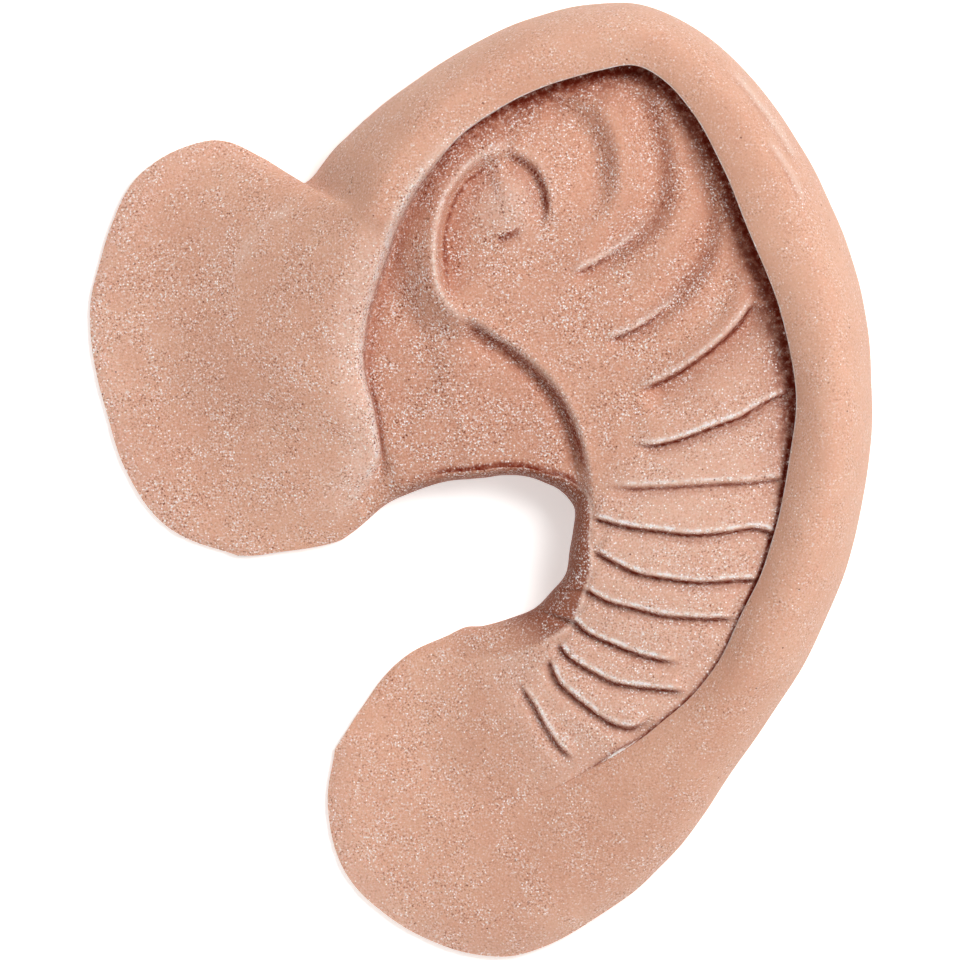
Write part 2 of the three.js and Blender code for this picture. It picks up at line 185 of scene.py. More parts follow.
def nearest(line, x, y):  # distance, positive on the line's left, and share of the way along it
    best = np.full(x.shape, np.inf)
    share = np.zeros(x.shape)
    side = np.ones(x.shape)
    for start, end in zip(line[:-1], line[1:]):
        alongX, alongY = end[:2] - start[:2]
        reach = ((x - start[0]) * alongX + (y - start[1]) * alongY) / (alongX**2 + alongY**2)
        t = np.clip(reach, 0, 1)
        awayX, awayY = x - start[0] - t * alongX, y - start[1] - t * alongY
        distance = np.hypot(awayX, awayY)
        closer = distance < best
        best = np.where(closer, distance, best)
        share = np.where(closer, lerp(start[2], end[2], t), share)
        side = np.where(closer, np.where(alongX * awayY - alongY * awayX >= 0, 1, -1), side)
    return best * side, share


# the ear's form, in mm and in shares of its size
ear = {
    "foamWall": 3.2,  # between the front and the hollow behind
    "glueBand": 4.0,  # flat ring round the hollow
    "canalWall": 2.0,
    "hollowReach": (0.38, 0.62),  # limits of the hollow, as shares of the way from notch to outline
    "leanMost": 0.3,  # the canal wall's lean is at most this share of the recess
    "lipGap": 0.12,  # the lip's wall leans this far
    "canalTurn": 84,  # degrees that the canal wall turns on its way up
    "canalFlare": 1.3,
    "canalRound": 0.6,
    "ribBulge": 0.12,  # how far the ribs' ends push the canal wall out, as a share of their height
    "conchaDepth": 3.5,
    "conchaSlope": 1.7,  # width of the step round the concha
    "curlSlope": 6.0,  # and of its gentler stretch beside the curl
    "curlRows": (0, 2, 7, 9.5, 14, 18),  # rows of bodyEdge where it widens, stays wide and narrows again
    "ribCrown": 1.2,
    "lipUndercut": 0.5,
    "lipRound": 0.1,
    "lipRoundWidth": 0.15,
    "edgeRound": 0.35,
    "edgeRoundMost": 0.4,  # share of the edge's height
    "flangeRamp": 0.5,  # how straight the flanges slope away from the rim
    "lumps": 0.07,  # height of the uneven skin
    "lumpSizes": (3.6, 1.5),
    "wander": 0.16,  # how far every line strays from its smooth course
    "wanderSize": 5.5,
    "wanderSeed": 5,
    "sections": 535,
    "ribDensity": 2.1,  # sections stand this much closer at the ribs
}

# columns of points across each section
columnCounts = {"canal": 10, "front": 88, "wall": 9, "rim": 46, "edge": 10, "hollowSide": 5, "hollow": 18}

# the notch, the rim's lip and the outline, from the temple flange over the top to the lobe flange
sectionRows = table("notchX notchY lipX lipY outlineX outlineY", [
    (-0.278, -0.079, -0.293, -0.08, -0.309, -0.08),
    (-0.194, -0.067, -0.23, -0.063, -0.401, -0.049),
    (-0.163, -0.054, -0.179, -0.037, -0.457, 0.016),
    (-0.121, -0.026, -0.13, 0.019, -0.485, 0.094),
    (-0.092, -0.014, -0.135, 0.068, -0.5, 0.163),
    (-0.066, -0.006, -0.149, 0.121, -0.485, 0.236),
    (-0.045, -0.002, -0.145, 0.168, -0.44, 0.318),
    (-0.028, 0, -0.133, 0.205, -0.351, 0.357),
    (-0.015, 0.001, -0.115, 0.247, -0.278, 0.339),
    (-0.006, 0.002, -0.102, 0.273, -0.228, 0.312),
    (0.006, 0.003, -0.07, 0.318, -0.179, 0.355),
    (0.023, 0.005, -0.006, 0.373, -0.098, 0.411),
    (0.038, 0.005, 0.077, 0.409, 0, 0.461),
    (0.054, 0.004, 0.153, 0.428, 0.115, 0.4955),
    (0.07, 0.001, 0.21, 0.43, 0.222, 0.4945),
    (0.085, -0.004, 0.268, 0.386, 0.319, 0.444),
    (0.098, -0.009, 0.307, 0.327, 0.402, 0.359),
    (0.111, -0.018, 0.344, 0.254, 0.459, 0.265),
    (0.121, -0.031, 0.379, 0.184, 0.491, 0.173),
    (0.12, -0.05, 0.401, 0.089, 0.5, 0.073),
    (0.116, -0.071, 0.39, 0.01, 0.486, -0.031),
    (0.11, -0.097, 0.37, -0.068, 0.453, -0.123),
    (0.092, -0.116, 0.338, -0.131, 0.399, -0.212),
    (0.07, -0.135, 0.293, -0.203, 0.332, -0.294),
    (0.038, -0.146, 0.223, -0.26, 0.255, -0.385),
    (0.006, -0.153, 0.14, -0.304, 0.161, -0.454),
    (-0.018, -0.154, 0.07, -0.331, 0.047, -0.4995),
    (-0.043, -0.163, 0, -0.333, -0.07, -0.482),
    (-0.087, -0.18, -0.07, -0.299, -0.163, -0.424),
    (-0.124, -0.208, -0.128, -0.273, -0.195, -0.349),
    (-0.156, -0.244, -0.167, -0.259, -0.186, -0.283),
])

# heights as shares of the depth
heightRows = table("section wallTop lipFoot lipTop crest flat edge", [
    (0, 0.046, 0.05, 0.05, 0.05, 0.043, 0.032),
    (1, 0.079, 0.086, 0.093, 0.093, 0.057, 0.032),
    (2, 0.132, 0.164, 0.179, 0.186, 0.064, 0.032),
    (3, 0.25, 0.275, 0.305, 0.315, 0.064, 0.032),
    (4, 0.345, 0.375, 0.395, 0.405, 0.068, 0.032),
    (5, 0.375, 0.41, 0.43, 0.44, 0.068, 0.032),
    (7, 0.405, 0.475, 0.53, 0.545, 0.06, 0.064),
    (9, 0.429, 0.521, 0.629, 0.646, 0.054, 0.036),
    (10, 0.436, 0.543, 0.671, 0.689, 0.179, 0.214),
    (11, 0.446, 0.571, 0.721, 0.743, 0.286, 0.321),
    (13, 0.464, 0.643, 0.807, 0.843, 0.411, 0.411),
    (15, 0.486, 0.679, 0.861, 0.911, 0.464, 0.464),
    (17, 0.511, 0.7, 0.893, 0.971, 0.464, 0.464),
    (19, 0.529, 0.746, 0.871, 1, 0.464, 0.464),
    (20, 0.529, 0.743, 0.825, 0.964, 0.446, 0.446),
    (22, 0.471, 0.664, 0.711, 0.807, 0.339, 0.339),
    (24, 0.345, 0.47, 0.485, 0.52, 0.164, 0.161),
    (25, 0.26, 0.35, 0.36, 0.375, 0.11, 0.09),
    (26, 0.195, 0.245, 0.25, 0.255, 0.08, 0.05),
    (27, 0.14, 0.165, 0.17, 0.17, 0.066, 0.036),
    (28, 0.09, 0.1, 0.102, 0.102, 0.056, 0.032),
    (30, 0.046, 0.05, 0.054, 0.054, 0.043, 0.032),
])

# lean of the canal wall and tuck of the rim as shares of the depth, where the crest and the slope's end lie
# as shares of the rim's width, and how round the rim is
formRows = table("section lean crestAt slopeEnd roll tuck", [
    (0, 0.02, 0.1, 0.6, 0, 0),
    (2, 0.03, 0.1, 0.75, 0, 0),
    (4, 0.045, 0.11, 0.84, 0, 0),
    (6, 0.038, 0.14, 0.86, 0.03, 0),
    (8, 0.034, 0.22, 0.9, 0.22, 0),
    (9, 0.034, 0.26, 0.97, 0.38, 0.01),
    (10, 0.034, 0.35, 1, 0.6, 0.07),
    (11, 0.034, 0.42, 1, 0.85, 0.14),
    (12, 0.034, 0.46, 1, 0.97, 0.18),
    (13, 0.036, 0.48, 1, 1, 0.2),
    (15, 0.04, 0.49, 1, 1, 0.21),
    (17, 0.063, 0.5, 1, 1, 0.21),
    (19, 0.082, 0.5, 1, 1, 0.21),
    (20, 0.085, 0.5, 1, 1, 0.21),
    (22, 0.13, 0.42, 1, 1, 0.18),
    (23, 0.17, 0.36, 1, 0.9, 0.12),
    (24, 0.17, 0.25, 1, 0.8, 0.07),
    (26, 0.14, 0.1, 0.95, 0.5, 0.01),
    (28, 0.05, 0.1, 0.9, 0.2, 0),
    (30, 0.02, 0.1, 0.8, 0, 0),
])

# edge of the raised part, with how deep the concha lies beside it
bodyEdge = table("x y sink", [
    (0.166, 0.416, 0.13), (0.102, 0.402, 0.22), (0.051, 0.386, 0.36), (0, 0.363, 0.53), (-0.036, 0.331, 0.67),
    (-0.051, 0.294, 0.8), (-0.059, 0.252, 0.9), (-0.057, 0.21, 0.9), (-0.036, 0.184, 0.8), (0, 0.166, 0.68),
    (0.051, 0.134, 0.65), (0.092, 0.102, 0.7), (0.117, 0.065, 0.8), (0.135, 0.021, 0.8), (0.144, -0.021, 0.7),
    (0.143, -0.063, 0.33), (0.13, -0.11, 0), (0.097, -0.168, 0), (0.038, -0.21, 0),
])

# how far, in mm, the skin is smoothed over the lip
softening = table("section reach", [
    (0, 1.6), (2, 1.4), (3, 0.6), (8, 0.5), (10, 0.2), (11, 0), (24.5, 0), (25.5, 0.5), (26.5, 2), (30, 1.5),
])
softeningStep = 0.1

# how grainy the skin is
grainRows = table("section grain", [
    (0, 0.95), (6, 0.8), (9, 0.6), (12, 0.42), (20, 0.42), (24, 0.55), (27, 0.75), (30, 0.75),
])

# heights left and right of the line, how wide each side is and how wide the turn between them, all in mm,
# then the painted shade line and its halo, the pale line, mostly a painted highlight, and the smooth band
# along it, with their places left of it
plainFold = {
    "dark": 0.0, "darkAt": -0.05, "darkWidth": 0.25, "halo": 0.0, "haloAt": -0.5, "haloWidth": 0.55,
    "worn": 0.0, "wornAt": 0.45, "wornWidth": 0.33, "smooth": 0.0, "smoothWidth": 1.1,
}
foldKinds = {
    "rib": {
        "left": 0.55, "leftWidth": 2.7, "right": -0.8, "rightWidth": 1.05, "turn": 0.3,
        "dark": 1.0, "darkWidth": 0.27, "halo": 0.5, "worn": 0.95, "wornAt": 0.5,
    },
    "softRib": {
        "left": 0.45, "leftWidth": 2.6, "right": -0.6, "rightWidth": 1.6, "turn": 0.7,
        "dark": 0.75, "darkWidth": 0.3, "halo": 0.45, "worn": 0.82, "wornAt": 0.65,
    },
    "fan": {
        "left": -1.15, "leftWidth": 2.8, "right": 0.9, "rightWidth": 3.0, "turn": 4.0,
        "dark": 0.25, "darkAt": 0.0, "darkWidth": 1.5,
    },
    "wideFan": {
        "left": -1.4, "leftWidth": 2.6, "right": 1.1, "rightWidth": 2.8, "turn": 4.2,
        "dark": 0.55, "darkAt": 0.0, "darkWidth": 1.7,
    },
    "ridge": {
        "left": 0.75, "leftWidth": 1.5, "right": 0.75, "rightWidth": 1.5, "turn": 1.0, "smooth": 1.0,
    },
    "tuck": {
        "left": 0.5, "leftWidth": 1.3, "right": -0.7, "rightWidth": 1.1, "turn": 0.4,
        "dark": 0.9, "darkWidth": 0.27, "halo": 0.4, "worn": 0.85, "wornAt": 0.5,
    },
    "deepTuck": {
        "left": 0.8, "leftWidth": 1.9, "right": -1.5, "rightWidth": 2.6, "turn": 0.6,
        "dark": 0.9, "darkWidth": 0.32, "halo": 0.45, "haloWidth": 1.0, "worn": 0.82, "wornAt": 0.6,
    },
    "curl": {
        "left": 0.9, "leftWidth": 2.6, "right": -1.5, "rightWidth": 1.7, "turn": 1.1,
        "dark": 1.0, "darkWidth": 0.42, "halo": 0.45, "haloAt": -1.0, "haloWidth": 0.9,
        "worn": 0.3, "wornAt": 0.9,
    },
    "bead": {
        "left": 0.8, "leftWidth": 0.75, "right": 0.8, "rightWidth": 1.6, "turn": 0.6,
        "worn": 0.75, "wornAt": -0.15,
    },
    "cup": {
        "left": -1.6, "leftWidth": 4.2, "right": 0.0, "rightWidth": 1.0, "turn": 0.8,
        "dark": 0.75, "darkAt": 0.75, "darkWidth": 0.35, "halo": 0.5, "haloAt": 1.7, "haloWidth": 1.3,
    },
    "groove": {
        "left": 0.3, "leftWidth": 1.2, "right": -0.9, "rightWidth": 1.5, "turn": 0.7,
        "dark": 0.85, "darkAt": -0.35, "darkWidth": 0.5, "halo": 0.6, "haloAt": -1.2, "haloWidth": 0.9,
        "worn": 0.35, "wornAt": 0.3,
    },
    "hump": {
        "left": 0.8, "leftWidth": 3.4, "right": 0.8, "rightWidth": 3.4, "turn": 1.0, "smooth": 0.3,
    },
    "slit": {
        "left": 0.15, "leftWidth": 0.6, "right": -0.7, "rightWidth": 0.5, "turn": 0.3,
        "dark": 1.0, "darkWidth": 0.36, "halo": 0.5, "worn": 0.4, "wornAt": 0.6,
    },
    "ledge": {
        "left": 0.3, "leftWidth": 1.2, "right": -0.35, "rightWidth": 1.2, "turn": 0.4,
        "dark": 0.8, "worn": 0.95, "wornAt": 0.25,
    },
    "seam": {
        "left": 0.15, "leftWidth": 1.4, "right": -0.15, "rightWidth": 1.4, "turn": 1.6,
        "worn": 0.5, "wornAt": 0.3,
    },
    "wrinkle": {
        "left": 0.08, "leftWidth": 0.5, "right": -0.14, "rightWidth": 0.35, "turn": 0.3,
        "dark": 0.3, "worn": 0.5,
    },
}

# kind, shares over which it fades in and out, and its x, y places from the inner end outwards
folds = [
    ("curl", 0.15, 0.25, [
        (0.029, 0.342), (0.051, 0.336), (0.068, 0.325), (0.08, 0.308), (0.085, 0.289), (0.078, 0.262)]),
    ("bead", 0.15, 0.12, [
        (0.056, 0.341), (0.033, 0.348), (0.003, 0.339), (-0.024, 0.322), (-0.045, 0.296), (-0.056, 0.262),
        (-0.057, 0.229), (-0.05, 0.197), (-0.03, 0.176), (-0.006, 0.163)]),
    ("groove", 0.12, 0.2, [
        (-0.026, 0.17), (0, 0.16), (0.051, 0.132), (0.092, 0.1), (0.117, 0.063), (0.134, 0.021),
        (0.141, -0.015)]),
    ("cup", 0.2, 0.25, [
        (0.038, 0.342), (0.003, 0.334), (-0.021, 0.318), (-0.041, 0.294), (-0.052, 0.262), (-0.053, 0.229),
        (-0.046, 0.197), (-0.028, 0.178)]),
    ("slit", 0.15, 0.2, [(0.019, 0.252), (0.037, 0.258), (0.052, 0.263)]),
    ("hump", 0.4, 0.4, [(-0.038, 0.173), (-0.019, 0.131), (0.003, 0.084)]),
    ("fan", 0.35, 0.05, [
        (0.14, 0.279), (0.158, 0.302), (0.162, 0.333), (0.149, 0.367), (0.121, 0.392), (0.083, 0.398)]),
    ("wideFan", 0.3, 0.03, [
        (0.13, 0.219), (0.161, 0.229), (0.193, 0.249), (0.226, 0.275), (0.238, 0.303), (0.236, 0.341),
        (0.225, 0.376), (0.206, 0.411)]),
    ("tuck", 0.12, 0.6, [(0.115, 0.214), (0.166, 0.235), (0.202, 0.258), (0.231, 0.285)]),
    ("wideFan", 0.4, 0.05, [
        (0.182, 0.153), (0.202, 0.159), (0.242, 0.183), (0.272, 0.211), (0.293, 0.242), (0.3, 0.276),
        (0.292, 0.312), (0.276, 0.346)]),
    ("tuck", 0.12, 0.6, [(0.158, 0.146), (0.202, 0.159), (0.242, 0.183), (0.277, 0.208)]),
    ("deepTuck", 0.15, 0.1, [(0.198, 0.091), (0.249, 0.111), (0.29, 0.134), (0.328, 0.163), (0.353, 0.189)]),
    ("ridge", 0.3, 0.1, [
        (0.078, 0.225), (0.125, 0.243), (0.159, 0.267), (0.18, 0.295), (0.183, 0.328), (0.174, 0.37),
        (0.153, 0.412)]),
    ("ridge", 0.3, 0.1, [
        (0.193, 0.203), (0.226, 0.229), (0.254, 0.255), (0.274, 0.282), (0.278, 0.309), (0.265, 0.338)]),
    ("ridge", 0.3, 0.2, [
        (0.214, 0.104), (0.282, 0.137), (0.316, 0.166), (0.337, 0.199), (0.334, 0.221), (0.324, 0.243)]),
    ("ledge", 0.1, 0.3, [(0.228, -0.26), (0.2, -0.272), (0.17, -0.285), (0.138, -0.306), (0.1, -0.326)]),
    ("rib", 0.2, 0.05, [
        (0.186, 0.038), (0.217, 0.036), (0.258, 0.044), (0.298, 0.056), (0.333, 0.066), (0.367, 0.083),
        (0.394, 0.091)]),
    ("softRib", 0.2, 0.05, [
        (0.152, -0.007), (0.196, -0.009), (0.247, -0.007), (0.298, -0.005), (0.349, -0.003), (0.389, 0.002)]),
    ("rib", 0.05, 0.05, [
        (0.14, -0.038), (0.189, -0.049), (0.231, -0.054), (0.272, -0.057), (0.316, -0.055), (0.352, -0.051),
        (0.381, -0.057)]),
    ("rib", 0.05, 0.1, [
        (0.144, -0.073), (0.172, -0.087), (0.207, -0.099), (0.247, -0.105), (0.286, -0.107), (0.333, -0.105),
        (0.36, -0.102)]),
    ("rib", 0.05, 0.1, [
        (0.13, -0.113), (0.162, -0.127), (0.196, -0.135), (0.237, -0.143), (0.282, -0.145), (0.329, -0.145)]),
    ("rib", 0.05, 0.2, [
        (0.115, -0.144), (0.138, -0.161), (0.179, -0.176), (0.217, -0.186), (0.261, -0.192)]),
    ("rib", 0.05, 0.1, [
        (0.099, -0.171), (0.115, -0.187), (0.142, -0.201), (0.172, -0.213), (0.21, -0.218), (0.265, -0.221)]),
    ("rib", 0.05, 0.2, [
        (0.088, -0.187), (0.099, -0.21), (0.125, -0.23), (0.152, -0.247), (0.176, -0.257), (0.196, -0.259),
        (0.224, -0.249)]),
    ("tuck", 0.2, 0.2, [(0.046, -0.21), (0.066, -0.235), (0.087, -0.263), (0.105, -0.283), (0.121, -0.294)]),
]

rimFolds = [
    ("seam", 0.3, 0.4, [(-0.228, 0.308), (-0.262, 0.276), (-0.3, 0.245), (-0.322, 0.205)]),
    ("wrinkle", 0.2, 0.2, [(0.334, 0.407), (0.372, 0.369), (0.404, 0.327)]),
    ("wrinkle", 0.2, 0.2, [(0.316, 0.426), (0.353, 0.39)]),
    ("wrinkle", 0.2, 0.2, [(0.361, 0.357), (0.39, 0.319), (0.408, 0.285)]),
]

# the knob inside the curl: place, radius and rise in mm, and how pale its top is, a painted highlight
knob = {"x": 0.034, "y": 0.29, "radius": 3.4, "rise": 0.9, "worn": 0.35}

# stained, dark and worn places: sections where each starts, is full, starts to fade and has gone,
# painted shade, painted highlights and other dark and pale marks: sections where each starts, is full, starts
# to fade and has gone, then its strength and its width in mm
marks = {
    # painted shade on the canal wall
    "canalShade": {"fading": (23.2, 24.9), "whole": (10, 14), "topLess": 0.6},
    # darker along the notch edge
    "notchDark": {"fading": (17.5, 18.5), "strength": 0.45, "width": 0.7},
    "notchLine": {"sections": (4.5, 7.5, 15.5, 18.5), "strength": 0.8, "width": 0.5, "away": 0.15},
    # a painted highlight along the notch edge
    "notchEdge": {"sections": (14, 17, 23.3, 24.3), "strength": 0.68, "width": 0.24},
    # painted shade at the foot of the lip's wall on the temple side, with a dark line there, in the crevice
    # and under the lip
    "templeFoot": {"sections": (2.5, 4, 9.5, 11.5), "strength": 0.55, "width": 3.2},
    "templeLine": {"sections": (2.5, 4, 9.5, 11.5), "strength": 0.1, "width": 0.7},
    "creviceShade": {"sections": (10, 12, 24, 25), "strength": 0.9, "width": 0.4},
    "lipShadow": {"sections": (9, 12), "strength": 0.9, "width": 3.4},
    # painted shade in the concha
    "concha": {"strength": 0.05},  # for each mm of its depth
    "paleRibs": {"sections": (17, 19.5), "strength": 0.22, "blushAndShade": 0.1},
    # painted highlights along the crest on the temple side
    "crestBand": {"sections": (1.5, 3, 9.6, 11.6), "strength": 0.78, "width": 0.8, "away": 0.4, "grain": 0.7},
    "broadBand": {"sections": (1.5, 3, 7, 9), "strength": 0.35, "width": 2.0, "away": 2.0},
    "lipLine": {"sections": (8, 11), "width": 0.14},
    # a painted highlight near the outline
    "outlinePale": {"width": 2.5},
}
recessGrain = 0.85  # the recess is as grainy as this, whatever the section
calmGrain = 0.6  # and its smooth ridges lose this share
# grain is densest on slopes facing down-left, away from the key lamp: the foam's grain, partly painted glints
slopeLight = (-0.8, -0.6)  # the way that a slope faces when it catches most specks
slopeGrain = {"flat": 0.85, "gain": 0.8, "most": 0.6}


def foldRelief(rows, x, y):  # height that the folds add, their painted shade lines, their pale, mostly painted highlight lines and their smooth crests
    relief, dark, worn, calm = [np.zeros(x.shape) for _ in range(4)]
    for name, fadeIn, fadeOut, line in rows:
        kind = {**plainFold, **foldKinds[name]}
        distance, share = nearest(smoothLine(line), x, y)
        fade = smoothStep(share, 0, fadeIn) * smoothStep(1 - share, 0, fadeOut)
        side = smoothStep(distance, -kind["turn"] / 2, kind["turn"] / 2)
        left = kind["left"] * bell(distance, kind["leftWidth"])
        right = kind["right"] * bell(distance, kind["rightWidth"])
        relief += fade * lerp(right, left, side)
        darkness = kind["dark"] * bell(distance - kind["darkAt"], kind["darkWidth"])
        darkness += kind["halo"] * bell(distance - kind["haloAt"], kind["haloWidth"]) * (1 - darkness)
        dark = np.maximum(dark, fade * darkness)
        worn = np.maximum(worn, fade * kind["worn"] * bell(distance - kind["wornAt"], kind["wornWidth"]))
        calm = np.maximum(calm, fade * kind["smooth"] * bell(distance, kind["smoothWidth"]))
    return relief, dark, worn, calm


def linePlaces(name, at):  # plan places in mm of the notch, the lip or the outline
    x = valueAt(sectionRows, name + "X", at) * earWidth
    y = valueAt(sectionRows, name + "Y", at) * earHeight
    return np.stack([x, y], -1)


def spreadSections(start, end, count):  # section numbers, even along the lip and closer at the ribs
    at = np.linspace(start, end, 1500)
    lip, outline = linePlaces("lip", at), linePlaces("outline", at)
    step = np.hypot(*np.diff(lip, axis=0).T) + 0.3 * np.hypot(*np.diff(outline, axis=0).T)
    step *= np.where((at[1:] > 17) & (at[1:] < 26), ear["ribDensity"], 1)
    length = np.concatenate(([0], np.cumsum(step)))
    return np.interp(np.linspace(0, length[-1], count), length, at)


class EarForm:  # the measures of every section, one row each, in mm
    def __init__(self, at):
        self.at = at
        self.notch, self.lip, self.outline = [linePlaces(name, at) for name in ("notch", "lip", "outline")]
        for name in ("wallTop", "lipFoot", "lipTop", "crest", "flat", "edge"):
            setattr(self, name, earDepth * valueAt(heightRows, name, at))
        self.crestAt = valueAt(formRows, "crestAt", at)
        self.slopeEnd = np.minimum(valueAt(formRows, "slopeEnd", at), 1)
        self.roll = np.clip(valueAt(formRows, "roll", at), 0, 1)
        self.tuck = np.maximum(earDepth * valueAt(formRows, "tuck", at), 0)
        self.recess = np.linalg.norm(self.lip - self.notch, axis=2)
        self.rim = np.linalg.norm(self.outline - self.lip, axis=2)
        self.full = self.recess + self.rim
        self.lean = np.minimum(earDepth * valueAt(formRows, "lean", at), ear["leanMost"] * self.recess)
        self.foot = self.recess - np.minimum(ear["lipGap"], ear["leanMost"] * self.recess)
        self.openness = fromTo(at, 1.5, 4.5, 25.5, 28.5)  # the flanges' ends have no recess
        self.edgeLine = smoothLine(np.stack([bodyEdge["x"], bodyEdge["y"]], 1))

    def spotAt(self, distance):  # plan place at a distance from the notch
        inner = self.notch + (self.lip - self.notch) * (distance / self.recess)[..., None]
        outer = self.lip + (self.outline - self.lip) * ((distance - self.recess) / self.rim)[..., None]
        return np.where((distance < self.recess)[..., None], inner, outer)

    def sinkAt(self, spot, inside, width, gentle=1.0):  # gentle widens the step beside the curl
        distance, share = nearest(self.edgeLine, spot[..., 0], spot[..., 1])
        row = share * (len(bodyEdge["sink"]) - 1)
        width = width * smoothValue(ear["curlRows"], (1, gentle, gentle, 1, 1, 1), row)
        return ear["conchaDepth"] * valueAt(bodyEdge, "sink", row) * smoothStep(inside - distance, 0, width)

    def recessHeight(self, share, sink):
        crown = 4 * ear["ribCrown"] * share * (1 - share)
        return lerp(self.wallTop, self.lipFoot, share) + self.openness * (crown - sink)

    def rimHeight(self, share):
        share = np.clip(share, 0, 1)
        rise = self.lipTop + (self.crest - self.lipTop) * (1 - (1 - share / self.crestAt) ** 2)
        fallen = np.clip((share - self.crestAt) / (self.slopeEnd - self.crestAt), 0, 1)
        swept = lerp(0.5 + 0.5 * np.cos(np.pi * fallen), 1 - fallen, ear["flangeRamp"])
        slope = self.flat + (self.crest - self.flat) * lerp(swept, np.sqrt(1 - fallen**2), self.roll)
        brim = lerp(self.flat, self.edge, (share - self.slopeEnd) / np.maximum(1 - self.slopeEnd, 1e-6))
        return np.where(share < self.crestAt, rise, np.where(share > self.slopeEnd, brim, slope))

    def front(self, share):  # height, painted shade, pale and painted highlight, smooth and fold relief between canal wall and lip
        spot = self.spotAt(lerp(self.lean, self.foot, share))
        relief, dark, worn, calm = foldRelief(folds, spot[..., 0], spot[..., 1])
        away = np.hypot(spot[..., 0] - knob["x"] * earWidth, spot[..., 1] - knob["y"] * earHeight)
        relief = relief + knob["rise"] * bell(away, knob["radius"])
        # a pale top on the knob, a painted highlight
        worn = np.maximum(worn, knob["worn"] * bell(away, knob["radius"]))
        width = ear["conchaSlope"]
        sink = self.sinkAt(spot, 0.1 * width, width, ear["curlSlope"] / width)
        # painted shade in the concha, darker where it sinks deeper
        dark = np.maximum(dark, marks["concha"]["strength"] * sink)
        height = self.recessHeight(share, sink) + self.openness * relief
        height = np.minimum(height, lerp(earDepth, self.lipTop, share))
        return height, dark * self.openness, worn * self.openness, calm * self.openness, relief

    def ceiling(self, distance):  # top of the hollow behind
        along = np.clip((distance - self.lean) / (self.foot - self.lean), 0, 1)
        width = 2 * ear["foamWall"]
        inside = self.recessHeight(along, self.sinkAt(self.spotAt(distance), width, width))
        under = np.minimum(self.rimHeight((distance - self.recess) / self.rim), self.lipFoot)
        fade = fromTo(self.at, 2.4, 2.9, 27.1, 27.6)
        return fade * np.maximum(np.where(distance < self.recess, inside, under) - ear["foamWall"], 0)


stripValues = ("distance", "height", "sunk", "crease", "worn", "rimEdge", "canal", "calm", "inside")


def strip(distance, height, **masks):  # some columns of the surface: places across the ear, heights and masks
    shape = np.broadcast(distance, height).shape
    given = {"distance": distance, "height": height, **masks}
    return {name: np.broadcast_to(given.get(name, 0.0), shape) for name in stripValues}


def canalStrip(form, frontTop, bulge):  # the wall beside the notch, over which the ribs' ends bulge
    mark = marks["canalShade"]
    turn = np.radians(np.linspace(0, ear["canalTurn"], columnCounts["canal"]))[None, :]
    up = np.linspace(0, 1, columnCounts["canal"])[None, :]
    top = frontTop - bulge * (1 - up**3)
    # painted shade on the canal wall, at first weaker near its top
    canalShaded = form.openness * (1 - smoothStep(form.at, *mark["fading"]))
    canalShaded = canalShaded * lerp(1 - mark["topLess"] * up**2, 1.0, smoothStep(form.at, *mark["whole"]))
    across = form.lean * (1 - np.cos(turn)) ** ear["canalFlare"]
    return strip(across, top * np.sin(turn) ** ear["canalRound"], sunk=0.6 * form.openness, canal=canalShaded)


def markAt(name, at, distance):  # strength of a mark at section numbers and a distance from its line
    mark = marks[name]
    reach = fromTo if len(mark["sections"]) == 4 else smoothStep
    beside = bell(distance - mark.get("away", 0), mark["width"])
    return mark.get("strength", 1) * reach(at, *mark["sections"]) * beside


def frontStrip(form, shares, front, wallHeight, shown):
    at = form.at
    height, dark, worn, calm, _ = front
    fromNotch = shares * (form.foot - form.lean)
    fromFoot = (1 - shares) * (form.foot - form.lean)
    # a darker band along the notch edge; painted shade at the foot of the lip's wall, in its crevice and
    # where the tall lip shades the recess
    notchDark = marks["notchDark"]
    shadeAndDark = notchDark["strength"] * bell(fromNotch, notchDark["width"])
    shadeAndDark = shadeAndDark * (1 - smoothStep(at, *notchDark["fading"]))
    shadeAndDark = shadeAndDark + markAt("notchLine", at, fromNotch)
    shadeAndDark = shadeAndDark + markAt("templeFoot", at, fromFoot) + markAt("templeLine", at, fromFoot)
    shadeAndDark = shadeAndDark + markAt("creviceShade", at, fromFoot) * smoothStep(wallHeight, 0.05, 0.5)
    shadeAndDark = shadeAndDark + markAt("lipShadow", at, fromFoot) * smoothStep(wallHeight, 0.8, 3.5)
    dark = np.maximum(dark, np.minimum(form.openness * shadeAndDark, 1))
    # paler rib bodies, with less of the recess's painted shade
    pale = marks["paleRibs"]
    paler = smoothStep(at, *pale["sections"])
    recessShade = shown * lerp(1, pale["blushAndShade"], paler)
    # a painted highlight along the notch edge, and paler rib bodies
    worn = np.maximum(np.maximum(worn, markAt("notchEdge", at, fromNotch)), pale["strength"] * shown * paler)
    place = lerp(form.lean, form.foot, shares)
    return strip(place, height, sunk=recessShade, crease=dark, worn=worn, calm=calm, inside=0.8 * shown), recessShade


def wallStrip(form, frontEnd, wallHeight, shown, recessShade):  # from the lip's foot up to it, undercut
    up = np.linspace(0, 1, columnCounts["wall"])[None, 1:-1]
    under = ear["lipUndercut"] * form.openness * smoothStep(wallHeight, 0.5, 2) * smoothStep(form.at, 10, 13)
    out = lerp(form.foot, form.recess, up) + under * np.sin(np.pi * up**0.7)
    # painted shade on the lip's wall, darker in the crevice
    creviceShade = fromTo(form.at, *marks["creviceShade"]["sections"]) * smoothStep(wallHeight, 0.05, 0.5)
    dark = lerp(0.5, 0.9, creviceShade) * shown
    return strip(out, lerp(frontEnd, form.lipTop, up), sunk=recessShade, crease=dark)


